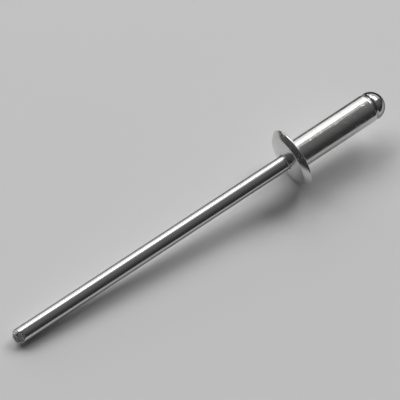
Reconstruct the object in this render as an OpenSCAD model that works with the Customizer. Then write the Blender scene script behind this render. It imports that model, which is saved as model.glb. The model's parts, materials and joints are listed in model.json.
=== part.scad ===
// Blind rivet before setting: a soft sleeve with a domed flange, on a headed steel mandrel.
// It lies as it comes to rest, on the rim of its flange and the pinched end of its mandrel.
// The origin is the centre of the flange's seat, and +X runs along the sleeve to the mandrel's head.

/* [Sleeve] */
// Outside diameter of the sleeve that goes through the work
sleeve_d = 3.2; // [2.6:0.1:5]
// Length of the sleeve under the flange
sleeve_len = 10.1; // [5:0.1:25]
// Rounding of the sleeve's tail edge
tail_edge_r = 0.22; // [0.05:0.01:0.3]
// Fillet between the sleeve and the flange
seat_fillet_r = 0.1; // [0.05:0.01:0.3]

/* [Flange] */
// Diameter of the flange
flange_d = 6.7; // [5.8:0.1:11]
// Height of the flange's crown above its seat
flange_h = 1.2; // [1.1:0.02:1.4]
// Distance from the flange's outline in to the edge of its crown
crown_edge_in = 0.55; // [0.4:0.05:0.9]
// Height of that edge above the seat
crown_edge_h = 0.76; // [0.66:0.02:0.8]
// Radius of the shoulder that falls from the crown's edge to the rim
shoulder_r = 3.4; // [3:0.1:8]
// Height of the rim above the seat, where the shoulder meets it
rim_h = 0.17; // [0.17:0.01:0.3]
// Radius of the round on the rim's seat side
rim_r = 0.14; // [0.05:0.01:0.15]
// Depth of the chamfer round the mouth of the bore
mouth_chamfer = 0.12; // [0.05:0.01:0.2]

/* [Mandrel] */
// Diameter of the mandrel's shank
mandrel_d = 1.68; // [1.4:0.02:2]
// Length of the mandrel from the flange's dome to its pinched end
mandrel_reach = 33.75; // [20:0.05:50]
// Gap all round between the mandrel and the bore
bore_gap = 0.05; // [0.02:0.01:0.1]
// Depth of the groove where the mandrel breaks
neck_depth = 0.2; // [0.05:0.01:0.3]
// Length of the bottom of the break groove
neck_len = 0.3; // [0.1:0.05:0.6]
// Distance from the sleeve's tail to the middle of the break groove
neck_back = 1.2; // [0.8:0.1:3]

/* [Mandrel head] */
// How far the head lies inside the sleeve's outline, so that it passes the same hole
head_inset = 0.03; // [0.02:0.01:0.1]
// Diameter of the head's flat shoulder, where it bears on the sleeve's tail
head_seat_d = 2.6; // [2.2:0.1:2.6]
// Distance from the head's flat shoulder to the middle of its ball
head_rise = 0.2; // [0.1:0.02:0.5]

/* [Pinched end] */
// Turn of the pinch about the mandrel, from upright
pinch_roll = 35; // [-45:5:45]
// Length of the two broad facets along the mandrel
broad_run = 1.06; // [0.5:0.02:1.6]
// Half of the thickness that the broad facets leave at the end
broad_half = 0.2; // [0.1:0.02:0.3]
// Length of the two side facets along the mandrel
side_run = 0.34; // [0.1:0.02:0.6]
// Half of the width that the side facets leave at the end
side_half = 0.28; // [0.2:0.02:0.4]
// Length of the four corner facets along the mandrel
corner_run = 0.74; // [0.2:0.02:0.8]
// Distance of the corner facets from the axis at the end
corner_half = 0.42; // [0.3:0.02:0.5]

/* [Hidden] */
$fn = 96;
overrun = 1;
sleeve_r = sleeve_d / 2;
flange_r = flange_d / 2;
mandrel_r = mandrel_d / 2;
bore_r = mandrel_r + bore_gap;
head_r = sleeve_r - head_inset;
head_seat_r = head_seat_d / 2;
rim_centre_r = flange_r - rim_r;
// The crown is the arc through its top, on the axis, and its edge
crown_edge_r = flange_r - crown_edge_in;
crown_drop = flange_h - crown_edge_h;
crown_r = (pow(crown_edge_r, 2) + pow(crown_drop, 2)) / (2 * crown_drop);
crown_centre_z = crown_r - flange_h;
// The shoulder is the arc from the crown's edge to the top of the rim
shoulder_fall = crown_edge_h - rim_h;
shoulder_chord = norm([crown_edge_in, shoulder_fall]);
shoulder_depth = sqrt(pow(shoulder_r, 2) - pow(shoulder_chord / 2, 2));
shoulder_centre = [
    crown_edge_r + crown_edge_in / 2 - shoulder_depth * shoulder_fall / shoulder_chord,
    -crown_edge_h + shoulder_fall / 2 + shoulder_depth * crown_edge_in / shoulder_chord
];
// Inside this radius the crown alone gives the height. The shoulder's arc still lies above the crown there
edge_turn = asin((crown_edge_r - shoulder_centre[0]) / shoulder_r) - asin(crown_edge_r / crown_r);
crown_only_r = crown_edge_r - shoulder_r * sin(edge_turn);
// Height of the crown where the bore comes out of it
mouth_z = crown_centre_z - sqrt(pow(crown_r, 2) - pow(bore_r, 2));
tip_z = mouth_z - mandrel_reach;
head_centre_z = sleeve_len + head_rise;
// Each facet is its turn about the mandrel, its distance from the axis at the end, and its length
facets = [
    [0, broad_half, broad_run],
    [180, broad_half, broad_run],
    [90, side_half, side_run],
    [270, side_half, side_run],
    for (turn = [45 : 90 : 315]) [turn, corner_half, corner_run]
];
// How far each facet reaches along the lowest line of the shank, which touches the ground first
foot_runs = [
    for (facet = facets)
        facet[2] * (mandrel_r * cos(pinch_roll - facet[0]) - facet[1]) / (mandrel_r - facet[1])
];
foot_z = tip_z + max(foot_runs);
// The ground is the line from that point that touches the rim from below
rim_ahead = -rim_r - foot_z;
rim_below = rim_centre_r - mandrel_r;
lay_angle = atan2(rim_below, rim_ahead) + asin(rim_r / norm([rim_ahead, rim_below]));

// Turns a piece from upright, mandrel's end down, to the way it lies
module lay_down() {
    rotate([0, 90 - lay_angle, 0]) children();
}

// Half section of a plain disc with the flange's round rim
module rim_section() {
    translate([0, -flange_h]) square([rim_centre_r, flange_h]);
    translate([0, -flange_h]) square([flange_r, flange_h - rim_r]);
    translate([rim_centre_r, -rim_r]) circle(r = rim_r);
}

// Half section of the domed flange, where the crown and the shoulder cut the disc
module flange_section() {
    intersection() {
        rim_section();
        translate([0, crown_centre_z]) circle(r = crown_r);
        union() {
            translate([0, -flange_h]) square([crown_only_r, flange_h]);
            translate(shoulder_centre) circle(r = shoulder_r);
        }
    }
}

// Half section of the sleeve, from inside the flange to its rounded tail edge
module sleeve_section() {
    translate([0, -rim_r]) square([sleeve_r, rim_r + sleeve_len - tail_edge_r]);
    translate([0, -rim_r]) square([sleeve_r - tail_edge_r, rim_r + sleeve_len]);
    translate([sleeve_r - tail_edge_r, sleeve_len - tail_edge_r]) circle(r = tail_edge_r);
}

// Fillet that fills the corner under the flange
module seat_fillet_section() {
    difference() {
        translate([0, -rim_r]) square([sleeve_r + seat_fillet_r, rim_r + seat_fillet_r]);
        translate([sleeve_r + seat_fillet_r, seat_fillet_r]) circle(r = seat_fillet_r);
    }
}

module bore_cut() {
    translate([0, 0, -flange_h - overrun]) cylinder(r = bore_r, h = flange_h + sleeve_len + 2 * overrun);
    translate([0, 0, mouth_z - overrun])
        cylinder(r1 = bore_r + mouth_chamfer + overrun, r2 = bore_r, h = mouth_chamfer + overrun);
}

module rivet_body() {
    color([0.80, 0.81, 0.80]) lay_down() difference() {
        rotate_extrude() {
            flange_section();
            sleeve_section();
            seat_fillet_section();
        }
        bore_cut();
    }
}

// Half section of the mandrel's ball head, whose underside slopes in to the flat shoulder
module head_section() {
    intersection() {
        translate([0, head_centre_z]) circle(r = head_r);
        translate([0, sleeve_len]) polygon([
            [0, 0],
            [head_seat_r, 0],
            [head_seat_r + head_r, head_r],
            [head_seat_r + head_r, 2 * head_r],
            [0, 2 * head_r]
        ]);
    }
}

// Groove round the mandrel with sloping sides, where it breaks when the rivet is set
module break_groove() {
    rotate_extrude() translate([mandrel_r, sleeve_len - neck_back]) polygon([
        [-neck_depth, -neck_len / 2],
        [-neck_depth, neck_len / 2],
        [overrun, neck_len / 2 + neck_depth + overrun],
        [overrun, -neck_len / 2 - neck_depth - overrun]
    ]);
}

// Cuts one flat facet on the pinched end
module facet_cut(turn, end_half, run) {
    slope = (mandrel_r - end_half) / run;
    rotate([0, 0, turn]) rotate([90, 0, 0])
        linear_extrude(height = mandrel_d + overrun, center = true) polygon([
            [end_half - overrun * slope, tip_z - overrun],
            [mandrel_r + overrun * slope, tip_z + run + overrun],
            [mandrel_r + overrun * slope, tip_z - overrun]
        ]);
}

module mandrel() {
    color([0.72, 0.72, 0.73]) lay_down() {
        difference() {
            translate([0, 0, tip_z]) cylinder(r = mandrel_r, h = head_centre_z - tip_z);
            break_groove();
            rotate([0, 0, 180 + pinch_roll])
                for (facet = facets) facet_cut(facet[0], facet[1], facet[2]);
        }
        rotate_extrude() head_section();
    }
}

rivet_body();
mandrel();
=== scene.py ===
import json
import math

import bpy
from mathutils import Matrix, Vector, noise


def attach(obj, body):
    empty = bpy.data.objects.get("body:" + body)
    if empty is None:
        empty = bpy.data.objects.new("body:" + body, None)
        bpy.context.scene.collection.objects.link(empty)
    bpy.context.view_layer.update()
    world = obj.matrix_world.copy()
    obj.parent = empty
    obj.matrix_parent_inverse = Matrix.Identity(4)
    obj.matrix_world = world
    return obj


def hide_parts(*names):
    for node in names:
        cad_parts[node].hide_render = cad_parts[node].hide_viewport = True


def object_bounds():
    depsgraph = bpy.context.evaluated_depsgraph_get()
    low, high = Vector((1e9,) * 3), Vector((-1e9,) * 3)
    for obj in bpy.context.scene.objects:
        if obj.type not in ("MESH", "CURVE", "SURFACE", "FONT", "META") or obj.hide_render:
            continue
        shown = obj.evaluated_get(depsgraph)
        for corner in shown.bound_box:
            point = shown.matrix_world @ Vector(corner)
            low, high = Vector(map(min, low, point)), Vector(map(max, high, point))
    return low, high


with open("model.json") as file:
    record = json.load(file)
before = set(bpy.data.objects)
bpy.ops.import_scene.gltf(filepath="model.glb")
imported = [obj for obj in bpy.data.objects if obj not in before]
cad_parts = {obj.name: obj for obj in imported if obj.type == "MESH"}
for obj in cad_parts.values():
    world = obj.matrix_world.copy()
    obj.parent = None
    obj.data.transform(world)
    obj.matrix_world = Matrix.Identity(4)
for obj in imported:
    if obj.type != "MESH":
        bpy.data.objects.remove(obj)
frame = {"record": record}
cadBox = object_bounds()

# A blind rivet before setting. Lengths in the settings are in mm, as on a rivet's drawing.
# Along the rivet, x is 0 at the flange's seat and grows towards the mandrel's head.
mm = 0.001

# The rivet lies with its axis a little raised, as the sleeve's mount in the record says
sleeveMount = next(mount for mount in frame["record"]["mounts"] if mount["name"] == "sleeve")
rivetAxis = Vector(sleeveMount["axis"]).normalized()
layAngle = math.asin(rivetAxis.z)
layTurn = Matrix.Rotation(-layAngle, 4, "Y")  # from the rivet's own x, y, z to the frame's
groundZ = cadBox[0].z


def linear(hexCode):
    # sRGB hex to the linear colour that the shader takes
    parts = [int(hexCode[i:i + 2], 16) / 255 for i in (1, 3, 5)]
    return [p / 12.92 if p <= 0.04045 else ((p + 0.055) / 1.055) ** 2.4 for p in parts] + [1]


def addNode(tree, kind, values=None, links=None, **settings):
    # one node, with its settings, its socket values and the sockets that feed it
    node = tree.nodes.new("ShaderNode" + kind)
    for name, value in settings.items():
        setattr(node, name, value)
    for socket, value in (values or {}).items():
        node.inputs[socket].default_value = value
    for socket, source in (links or {}).items():
        tree.links.new(source, node.inputs[socket])
    return node


def newMaterial(name):
    # an empty node material, and its tree
    material = bpy.data.materials.new(name)
    material.use_nodes = True
    material.node_tree.nodes.clear()
    return material, material.node_tree


# camera: from the photo's perspective, level, looking down on the rivet from the mandrel's side
photoCamera = {
    "position": (-57.04, -63.89, 133.67),
    "target": (-11.11, 1.34, 0.0),
    "lens": 135,  # on a sensor 36 mm wide
    "nearest": 10, "farthest": 10000,  # what it sees
}
cameraData = bpy.data.cameras.new("camera")
cameraData.lens = photoCamera["lens"]
cameraData.clip_start = photoCamera["nearest"] * mm
cameraData.clip_end = photoCamera["farthest"] * mm
camera = bpy.data.objects.new("camera", cameraData)
camera.location = Vector(photoCamera["position"]) * mm
lookAt = Vector(photoCamera["target"]) * mm - camera.location
camera.rotation_euler = lookAt.to_track_quat("-Z", "Y").to_euler()
bpy.context.scene.collection.objects.link(camera)
bpy.context.scene.camera = camera
print("camera set")


# studio: one large uneven window behind the rivet, made of lamps, a dim room, and a sheet of pale paper
studio = {
    "lampDistance": 1800,
    "lamps": [  # name, azimuth from +Y towards +X, elevation, width and height in degrees, radiance
        ("windowLeft", -8, 46, 36, 29, 2.9),
        ("windowMiddle", 30, 44, 23, 12, 4.3),
        ("windowRight", 71, 42, 28, 22, 5.1),
        ("windowLow", 30, 31, 24, 14, 1.5),
        ("sillLeft", 0, 13.5, 56, 21, 0.97),
        ("sillRight", 57, 14, 52, 20, 0.6),
        ("valance", 28, 67, 18, 14, 0.55),
    ],
    "roomLightest": 0.17, "roomDarkest": 0.04,
    "roomWay": (0.3, 0.48, 0.83),  # towards the room's lightest part
    "roomFade": (-0.06, 0.86),  # darkest and lightest at these cosines to it
    "roomOnMatt": 0.4,  # the room's share on matt surfaces, which keeps the shadow deep
    "paper": "#F0F0F0", "paperSize": 3000, "paperRoughness": 0.9, "paperSpecular": 0.2,
    "paintedReflectionTone": "#2C2C2C",  # painted reflection: the dark tone the metal mirrors past a strip of the paper, which itself stays pale
    "stripNear": (-10, -15),  # y at which the strip's near edge starts to fade, and ends
    "stripFar": (13, 17),  # the same for its far edge, along the way below
    "stripFarWay": (0.5, 0.87, 0.0),
}


def addLamp(name, azimuth, elevation, width, height, radiance):
    # an area lamp that fills the given angles as seen from the rivet, aimed at it
    distance = studio["lampDistance"] * mm
    a, e = math.radians(azimuth), math.radians(elevation)
    data = bpy.data.lights.new(name, "AREA")
    data.shape = "RECTANGLE"
    data.size = 2 * distance * math.tan(math.radians(width) / 2)
    data.size_y = 2 * distance * math.tan(math.radians(height) / 2)
    data.energy = radiance * math.pi * data.size * data.size_y  # the watts that give this radiance
    lamp = bpy.data.objects.new(name, data)
    lamp.location = distance * Vector((math.cos(e) * math.sin(a), math.cos(e) * math.cos(a), math.sin(e)))
    lamp.rotation_euler = (-lamp.location).to_track_quat("-Z", "Y").to_euler()
    bpy.context.scene.collection.objects.link(lamp)


for lampSettings in studio["lamps"]:
    addLamp(*lampSettings)

# The room is lighter overhead towards the window. The metal mirrors all of it, and matt surfaces get a share
world = bpy.data.worlds.new("room")
world.use_nodes = True
tree = world.node_tree
tree.nodes.clear()
direction = addNode(tree, "TexCoord").outputs["Generated"]
towardsWindow = addNode(tree, "VectorMath", {1: studio["roomWay"]}, {0: direction}, operation="DOT_PRODUCT")
roomTone = addNode(tree, "MapRange", {
    "From Min": studio["roomFade"][0], "From Max": studio["roomFade"][1],
    "To Min": studio["roomDarkest"], "To Max": studio["roomLightest"],
}, {"Value": towardsWindow.outputs["Value"]})
mirrored = addNode(tree, "LightPath").outputs["Is Glossy Ray"]
share = addNode(tree, "MapRange", {"To Min": studio["roomOnMatt"], "To Max": 1.0}, {"Value": mirrored})
roomStrength = addNode(tree, "Math", links={0: roomTone.outputs[0], 1: share.outputs[0]}, operation="MULTIPLY")
roomLight = addNode(tree, "Background", {"Color": (1, 1, 1, 1)}, {"Strength": roomStrength.outputs[0]})
addNode(tree, "OutputWorld", links={"Surface": roomLight.outputs[0]})
bpy.context.scene.world = world

# uncoated paper: matt pulp board, with no gloss and barely any grain
paper, tree = newMaterial("uncoatedPaper")
# Painted reflection: for glossy rays only, the paper turns dark past a strip along the rivet, so the metal
# mirrors dark edges while the paper itself looks evenly pale
floorPlace = addNode(tree, "TexCoord").outputs["Object"]
alongY = addNode(tree, "SeparateXYZ", links={"Vector": floorPlace}).outputs["Y"]
nearEdge = addNode(tree, "MapRange", {
    "From Min": studio["stripNear"][0] * mm, "From Max": studio["stripNear"][1] * mm,
}, {"Value": alongY})
alongFarWay = addNode(tree, "VectorMath", {1: studio["stripFarWay"]}, {0: floorPlace}, operation="DOT_PRODUCT")
farEdge = addNode(tree, "MapRange", {
    "From Min": studio["stripFar"][0] * mm, "From Max": studio["stripFar"][1] * mm,
}, {"Value": alongFarWay.outputs["Value"]})
pastStrip = addNode(tree, "Math", links={0: nearEdge.outputs[0], 1: farEdge.outputs[0]}, operation="MAXIMUM")
mirrored = addNode(tree, "LightPath").outputs["Is Glossy Ray"]
# painted reflection: 1 past the strip for glossy rays only, so only the metal's reflections see the dark tone
paintedReflectionMask = addNode(tree, "Math", links={0: pastStrip.outputs[0], 1: mirrored}, operation="MULTIPLY")
paperToneWithPaintedReflection = addNode(tree, "MixRGB", {
    "Color1": linear(studio["paper"]), "Color2": linear(studio["paintedReflectionTone"]),
}, {"Fac": paintedReflectionMask.outputs[0]})
paperShader = addNode(tree, "BsdfPrincipled", {
    "Roughness": studio["paperRoughness"], "Specular IOR Level": studio["paperSpecular"],
}, {"Base Color": paperToneWithPaintedReflection.outputs[0]})
addNode(tree, "OutputMaterial", links={"Surface": paperShader.outputs[0]})

half = studio["paperSize"] * mm / 2
floorCorners = [(-half, -half, groundZ), (half, -half, groundZ), (half, half, groundZ), (-half, half, groundZ)]
floorMesh = bpy.data.meshes.new("floor")
floorMesh.from_pydata(floorCorners, [], [(0, 1, 2, 3)])
floorMesh.materials.append(paper)
floor = bpy.data.objects.new("floor", floorMesh)
bpy.context.scene.collection.objects.link(floor)

bpy.context.scene.view_settings.view_transform = "Standard"
print("studio set")


sharpEdge = 35  # degrees between faces, above which an edge isn't shaded smooth


def addMesh(name, points, faces, material, nodeName):
    # a finished piece in the rivet's own frame, laid down, in place of its CAD node
    mesh = bpy.data.meshes.new(name)
    mesh.from_pydata(points, [], faces)
    mesh.transform(layTurn)
    mesh.polygons.foreach_set("use_smooth", [True] * len(mesh.polygons))
    mesh.set_sharp_from_angle(angle=math.radians(sharpEdge))
    mesh.materials.append(material)
    mesh.update()
    piece = bpy.data.objects.new(name, mesh)
    bpy.context.scene.collection.objects.link(piece)
    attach(piece, "root")
    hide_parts(nodeName)
    return piece


def rivetPlace(tree):
    # where a point is in the rivet's own frame, in metres
    framePlace = addNode(tree, "TexCoord").outputs["Object"]
    return addNode(tree, "Mapping", {"Rotation": (0, layAngle, 0)}, {"Vector": framePlace}).outputs[0]


def turn(profile, segments, surface, closed):
    # sweeps a profile of (x, radius) round x. surface(x, radius, angle) moves each point a little.
    # An open profile is closed with a point on the axis at each end.
    points = [surface(x, radius, 2 * math.pi * k / segments) for x, radius in profile for k in range(segments)]
    faces = []
    rings = len(profile)
    for i in range(rings if closed else rings - 1):
        j = (i + 1) % rings
        for k in range(segments):
            m = (k + 1) % segments
            faces.append((i * segments + k, j * segments + k, j * segments + m, i * segments + m))
    if not closed:
        for x, ring, flip in ((profile[0][0], 0, False), (profile[-1][0], rings - 1, True)):
            centre = len(points)
            points.append(surface(x, 0, 0))
            for k in range(segments):
                edge = [ring * segments + k, ring * segments + (k + 1) % segments]
                faces.append((centre, *(reversed(edge) if flip else edge)))
    return points, faces


def arc(centre, radius, start, end, steps):
    # points of a circle in the profile's plane, angles in degrees from +x towards the radius
    angles = [math.radians(start + (end - start) * k / steps) for k in range(steps + 1)]
    return [(centre[0] + radius * math.cos(a), centre[1] + radius * math.sin(a)) for a in angles]


def straight(start, end, steps):
    # points between two points of the profile, without either
    return [(start[0] + (end[0] - start[0]) * k / steps, start[1] + (end[1] - start[1]) * k / steps)
            for k in range(1, steps)]


noiseSpan = {"From Min": 0.3, "From Max": 0.7}  # most of a noise's values

# cold-headed aluminium: the die leaves a soft satin skin with fine pits, so reflections are blurred
# and the highlight's edge is a little broken
aluminium = {
    "tints": ("#CFD0CE", "#DEDFDD"),
    "roughness": (0.16, 0.24),
    "skinScale": 900.0,  # per metre: patches of duller skin about 1.1 mm wide
    "pitScale": 3200.0,  # a pit about every 0.3 mm
    "pitEdge": (0.05, 0.2),  # the slope from a pit's bottom to its rim, in pit spacings
    "pitStrength": 0.5, "pitDepth": 0.03,
    "grainScale": 9000.0,  # 0.1 mm, drawn coarser than the metal's own grain, so that it shows
    "grainStrength": 0.35, "grainDepth": 0.02,
}
headedAluminium, tree = newMaterial("coldHeadedAluminium")
place = rivetPlace(tree)
skin = addNode(tree, "TexNoise", {"Scale": aluminium["skinScale"], "Detail": 4.0, "Roughness": 0.6},
               {"Vector": place})
satin = addNode(tree, "MapRange", {
    **noiseSpan, "To Min": aluminium["roughness"][0], "To Max": aluminium["roughness"][1],
}, {"Value": skin.outputs[0]})
pits = addNode(tree, "TexVoronoi", {"Scale": aluminium["pitScale"]}, {"Vector": place})
pitHeight = addNode(tree, "MapRange", {
    "From Min": aluminium["pitEdge"][0], "From Max": aluminium["pitEdge"][1],
}, {"Value": pits.outputs["Distance"]})
grain = addNode(tree, "TexNoise", {"Scale": aluminium["grainScale"], "Detail": 2.0}, {"Vector": place})
grainBump = addNode(tree, "Bump", {
    "Strength": aluminium["grainStrength"], "Distance": aluminium["grainDepth"] * mm,
}, {"Height": grain.outputs[0]})
pitBump = addNode(tree, "Bump", {
    "Strength": aluminium["pitStrength"], "Distance": aluminium["pitDepth"] * mm,
}, {"Height": pitHeight.outputs[0], "Normal": grainBump.outputs[0]})
tint = addNode(tree, "MixRGB", {
    "Color1": linear(aluminium["tints"][0]), "Color2": linear(aluminium["tints"][1]),
}, {"Fac": skin.outputs[0]})
aluminiumShader = addNode(tree, "BsdfPrincipled", {"Metallic": 1.0}, {
    "Base Color": tint.outputs[0], "Roughness": satin.outputs[0], "Normal": pitBump.outputs[0],
})
addNode(tree, "OutputMaterial", links={"Surface": aluminiumShader.outputs[0]})

# the rivet body: one lathe form, from the mouth over the flange and the sleeve, and back through the bore
body = {
    "flangeRadius": 3.35, "flangeHeight": 1.2, "rimHeight": 0.17, "rimRadius": 0.14,
    "crownEdgeIn": 0.55, "crownEdgeHeight": 0.76, "shoulderRadius": 3.4,
    "sleeveRadius": 1.6, "sleeveLength": 10.1, "seatFillet": 0.1, "tailEdge": 0.22,
    "boreRadius": 0.89, "mouthRadius": 0.995, "mouthChamfer": 0.12,
    "mouthSoft": 0.02, "tailSoft": 0.01,  # how much the bore's two edges are blunted
    "crownTrims": (0.15, 0.25),  # degrees left off each end of the crown's arc, which blunts its edges
    "shoulderTrims": (0.45, 0.5),  # the same for the shoulder's arc
    "skin": 0.004,  # how far the visible skin lies inside the solid
    "wave": 0.002, "waveSize": 2.4,  # how far it strays from true, inwards, and over what length
    "segments": 256,
}


def bodyProfile(s):
    # the crown is the arc through its top and its edge, and the shoulder the arc from there to the rim
    edge, drop = s["flangeRadius"] - s["crownEdgeIn"], s["flangeHeight"] - s["crownEdgeHeight"]
    crownRadius = (edge ** 2 + drop ** 2) / (2 * drop)
    crownCentre = crownRadius - s["flangeHeight"]
    crownEnd = 180 - math.degrees(math.asin(edge / crownRadius))
    fall = s["crownEdgeHeight"] - s["rimHeight"]
    chord = math.hypot(s["crownEdgeIn"], fall)
    depth = math.sqrt(s["shoulderRadius"] ** 2 - chord ** 2 / 4) / chord
    shoulder = (fall / 2 - s["crownEdgeHeight"] + depth * s["crownEdgeIn"],
                edge + s["crownEdgeIn"] / 2 - depth * fall)
    shoulderStart = 180 - math.degrees(math.asin((edge - shoulder[1]) / s["shoulderRadius"]))
    shoulderEnd = 180 - math.degrees(math.asin((s["flangeRadius"] - shoulder[1]) / s["shoulderRadius"]))
    mouth = 180 - math.degrees(math.asin(s["mouthRadius"] / crownRadius))
    mouthX = crownCentre + crownRadius * math.cos(math.radians(mouth))
    points = [(mouthX + s["mouthSoft"], s["mouthRadius"] - s["mouthSoft"])]
    startTrim, endTrim = s["crownTrims"]
    points += arc((crownCentre, 0), crownRadius, mouth - startTrim, crownEnd + endTrim, steps=24)
    startTrim, endTrim = s["shoulderTrims"]
    points += arc(shoulder, s["shoulderRadius"], shoulderStart - startTrim, shoulderEnd + endTrim, steps=16)
    points += arc((-s["rimRadius"], s["flangeRadius"] - s["rimRadius"]), s["rimRadius"], 90, 0, steps=10)
    fillet = (s["seatFillet"], s["sleeveRadius"] + s["seatFillet"])
    points += straight(points[-1], (0, fillet[1]), steps=12)
    points += arc(fillet, s["seatFillet"], 180, 270, steps=8)
    tail = (s["sleeveLength"] - s["tailEdge"], s["sleeveRadius"] - s["tailEdge"])
    points += straight(points[-1], (tail[0], s["sleeveRadius"]), steps=120)
    points += arc(tail, s["tailEdge"], 90, 0, steps=12)
    points += straight(points[-1], (s["sleeveLength"], s["boreRadius"]), steps=6)
    points += [(s["sleeveLength"], s["boreRadius"] + s["tailSoft"]),
               (s["sleeveLength"] - s["tailSoft"], s["boreRadius"])]
    chamfer = (mouthX + s["mouthRadius"] - s["boreRadius"], s["boreRadius"])
    points += straight(points[-1], chamfer, steps=24) + [chamfer]
    return points


def bodySurface(x, radius, angle):
    # the outside lies a little inside the solid and waves a little, and the bore is true
    y, z = math.sin(angle), math.cos(angle)
    depth = 0
    if radius > body["mouthRadius"]:
        spot = Vector((x, radius * y, radius * z)) / body["waveSize"]
        depth = body["skin"] + body["wave"] * (0.5 + 0.5 * noise.noise(spot))
    r = radius - depth
    return (x * mm, r * y * mm, r * z * mm)


points, faces = turn(bodyProfile(body), body["segments"], bodySurface, closed=True)
addMesh("rivetSleeve", points, faces, headedAluminium, "rivet_body")
print("rivet body built")


# drawn steel wire: the die leaves it bright with fine lines along it, so reflections are sharp across
# the wire and streaked along it. The pinched end is sheared metal, duller and scored by the cutter.
steel = {
    "drawnTints": ("#CBCBCD", "#D8D8DA"),
    "shearedTints": ("#8C8C8F", "#D8D8DA"),
    "edgeTint": "#383838",  # the film left by drawing dims reflections at the wire's edges
    "drawnRoughness": (0.11, 0.19),
    "shearedRoughness": (0.13, 0.3),
    # per metre, along the wire and across it
    "lineScales": (60.0, 9000.0, 9000.0),  # die lines 0.1 mm apart, drawn coarser to show, and 17 mm long
    "scoreScales": (7000.0, 2500.0, 2500.0),  # scores 0.15 mm apart and 0.4 mm long
    "cloudScale": 500.0,  # patches of duller wire 2 mm long
    "lineStrength": 0.12, "lineDepth": 0.02,
    "scoreStrength": 1.0, "scoreDepth": 0.12,
    "scoreSpan": (0.35, 0.65), "streakSpan": (0.38, 0.62),  # of the scores' noise, for gloss and for tint
}
drawnSteel, tree = newMaterial("brightDrawnSteelWire")
place = rivetPlace(tree)
sheared = addNode(tree, "Attribute", attribute_name="sheared").outputs["Fac"]
along = addNode(tree, "Mapping", {"Scale": steel["lineScales"]}, {"Vector": place})
dieLines = addNode(tree, "TexNoise", {"Scale": 1.0, "Detail": 3.0, "Roughness": 0.55},
                   {"Vector": along.outputs[0]})
across = addNode(tree, "Mapping", {"Scale": steel["scoreScales"]}, {"Vector": place})
scores = addNode(tree, "TexNoise", {"Scale": 1.0, "Detail": 4.0, "Roughness": 0.7},
                 {"Vector": across.outputs[0]})
cloud = addNode(tree, "TexNoise", {"Scale": steel["cloudScale"], "Detail": 3.0}, {"Vector": place})
bright = addNode(tree, "MapRange", {
    **noiseSpan, "To Min": steel["drawnRoughness"][0], "To Max": steel["drawnRoughness"][1],
}, {"Value": cloud.outputs[0]})
dull = addNode(tree, "MapRange", {
    "From Min": steel["scoreSpan"][0], "From Max": steel["scoreSpan"][1],
    "To Min": steel["shearedRoughness"][0], "To Max": steel["shearedRoughness"][1],
}, {"Value": scores.outputs[0]})
gloss = addNode(tree, "Mix", links={"Factor": sheared, "A": bright.outputs[0], "B": dull.outputs[0]},
                data_type="FLOAT")
marks = addNode(tree, "Mix", links={"Factor": sheared, "A": dieLines.outputs[0], "B": scores.outputs[0]},
                data_type="FLOAT")
strength = addNode(tree, "MapRange", {"To Min": steel["lineStrength"], "To Max": steel["scoreStrength"]},
                   {"Value": sheared})
relief = addNode(tree, "MapRange", {"To Min": steel["lineDepth"] * mm, "To Max": steel["scoreDepth"] * mm},
                 {"Value": sheared})
marksBump = addNode(tree, "Bump", links={
    "Height": marks.outputs[0], "Strength": strength.outputs[0], "Distance": relief.outputs[0],
})
drawnTint = addNode(tree, "MixRGB", {
    "Color1": linear(steel["drawnTints"][0]), "Color2": linear(steel["drawnTints"][1]),
}, {"Fac": dieLines.outputs[0]})
streak = addNode(tree, "MapRange", {
    "From Min": steel["streakSpan"][0], "From Max": steel["streakSpan"][1],
}, {"Value": scores.outputs[0]})
shearedTint = addNode(tree, "MixRGB", {
    "Color1": linear(steel["shearedTints"][0]), "Color2": linear(steel["shearedTints"][1]),
}, {"Fac": streak.outputs[0]})
tint = addNode(tree, "MixRGB", links={
    "Fac": sheared, "Color1": drawnTint.outputs[0], "Color2": shearedTint.outputs[0],
})
steelShader = addNode(tree, "BsdfPrincipled", {"Metallic": 1.0, "Specular Tint": linear(steel["edgeTint"])}, {
    "Base Color": tint.outputs[0], "Roughness": gloss.outputs[0], "Normal": marksBump.outputs[0],
})
addNode(tree, "OutputMaterial", links={"Surface": steelShader.outputs[0]})

# the mandrel: shank, break groove and ball head as one lathe form, its end cut by facets
wire = {
    "radius": 0.84, "tip": -34.9064, "grooveAt": 8.9, "grooveDepth": 0.2, "grooveLength": 0.3,
    "shoulder": 10.1, "seatRadius": 1.3, "headCentre": 10.3, "headRadius": 1.566,
    "neckSoft": 0.02, "seatSoft": 0.01,  # how much the shoulder's inner and outer edges are blunted
    "headTrims": (0.6, 1),  # degrees left off each end of the ball's arc
    "pinchRoll": 35.0,
    "pinchLength": 1.3,  # a little past the longest facet
    "pinchRings": 60, "pinchStep": 0.02,  # close rings over the facets, and how far apart
    "endRings": (0.1, 0.2, 0.3, 0.4, 0.5, 0.6, 0.7, 0.8),  # radii on the end face
    "shankEnd": 0.5,  # how far before the middle of the groove
    "facets": [  # turn about the wire, distance from the axis at the end, length
        (0, 0.2, 1.06), (180, 0.2, 1.06), (90, 0.28, 0.34), (270, 0.28, 0.34),
        (45, 0.42, 0.74), (135, 0.42, 0.74), (225, 0.42, 0.74), (315, 0.42, 0.74),
    ],
    "soft": 0.008,  # how much the facets' edges are blunted
    "burr": 0.012,  # how far the cut metal strays from true, inwards
    "burrScales": (5, 4),  # per mm, along the wire and across it
    "cutStart": 0.004, "cutFull": 0.02,  # depth of cut where sheared metal starts, and over which it comes in
    "least": 0.05,  # radius that is always left at the end
    "segments": 240,
}


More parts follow.
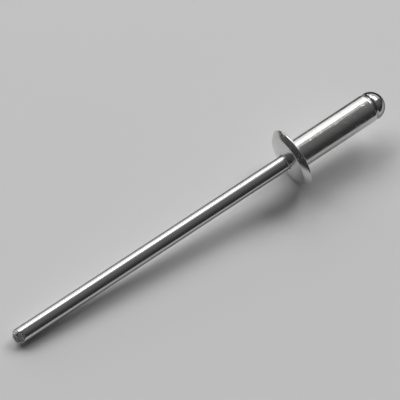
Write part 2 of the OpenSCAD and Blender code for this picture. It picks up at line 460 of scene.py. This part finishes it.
def wireProfile(s):
    # rings of the end face, close rings over the pinch, the shank, the groove, the shoulder and the ball
    tip = s["tip"]
    points = [(tip, r) for r in s["endRings"]]
    points += [(tip + s["pinchStep"] * k, s["radius"]) for k in range(s["pinchRings"])]
    points += straight(points[-1], (s["grooveAt"] - s["shankEnd"], s["radius"]), steps=90)
    half, deep = s["grooveLength"] / 2, s["radius"] - s["grooveDepth"]
    groove = ((-half - s["grooveDepth"], s["radius"]), (-half, deep),
              (half, deep), (half + s["grooveDepth"], s["radius"]))
    points += [(s["grooveAt"] + x, r) for x, r in groove]
    points += [(s["shoulder"] - s["neckSoft"], s["radius"]), (s["shoulder"], s["radius"] + s["neckSoft"])]
    points += straight(points[-1], (s["shoulder"], s["seatRadius"]), steps=8)
    # the sloping underside meets the ball where seat radius + run is the ball's radius there
    seat, rise = s["seatRadius"], s["headCentre"] - s["shoulder"]
    run = (rise - seat + math.sqrt((seat - rise) ** 2 - 2 * (seat ** 2 + rise ** 2 - s["headRadius"] ** 2))) / 2
    opening = math.degrees(math.atan2(seat + run, run - rise))
    points += [(s["shoulder"] + s["seatSoft"], seat)]
    points += straight((s["shoulder"], seat), (s["shoulder"] + run, seat + run), steps=6)
    startTrim, endTrim = s["headTrims"]
    points += arc((s["headCentre"], 0), s["headRadius"], opening - startTrim, endTrim, steps=48)
    return points


def cutRadius(x, radius, angle):
    # radius left by the facets, with their edges blunted
    ahead = x - wire["tip"]
    if ahead > wire["pinchLength"]:
        return radius
    total = math.exp(-radius / wire["soft"])
    for turnAngle, endHalf, run in wire["facets"]:
        facing = math.cos(angle + math.radians(wire["pinchRoll"] + turnAngle))
        if facing > 0.05:  # a facet cuts only the side that it faces
            total += math.exp(-(endHalf + (wire["radius"] - endHalf) / run * ahead) / facing / wire["soft"])
    return -wire["soft"] * math.log(total)


def wireSurface(x, radius, angle):
    # the pinch is cut by its facets, and its cut metal is a little uneven
    y, z = math.sin(angle), math.cos(angle)
    r = cutRadius(x, radius, angle) if radius else 0
    if x < wire["tip"] + wire["pinchLength"] and radius:
        lengthwise, crosswise = wire["burrScales"]
        spot = Vector((x * lengthwise, r * y * crosswise, r * z * crosswise))
        cut = min(1, max(0, (radius - r) / wire["cutFull"]))
        r = max(wire["least"], r - wire["burr"] * cut * (0.5 + 0.5 * noise.noise(spot)))
        x += wire["burr"] * (0.5 + 0.5 * noise.noise(spot * 1.3)) if x == wire["tip"] else 0
    return (x * mm, r * y * mm, r * z * mm)


def shearedShare(x, y, z):
    # 1 where a facet has cut the wire's surface away, and 0 on the drawn surface
    if x / mm >= wire["tip"] + wire["pinchLength"]:
        return 0
    return min(1, max(0, (wire["radius"] - math.hypot(y, z) / mm - wire["cutStart"]) / wire["cutFull"]))


points, faces = turn(wireProfile(wire), wire["segments"], wireSurface, closed=False)
mandrelWire = addMesh("mandrelWire", points, faces, drawnSteel, "mandrel")
shearedMark = mandrelWire.data.attributes.new("sheared", "FLOAT", "POINT")
shearedMark.data.foreach_set("value", [shearedShare(*point) for point in points])
print("mandrel built")
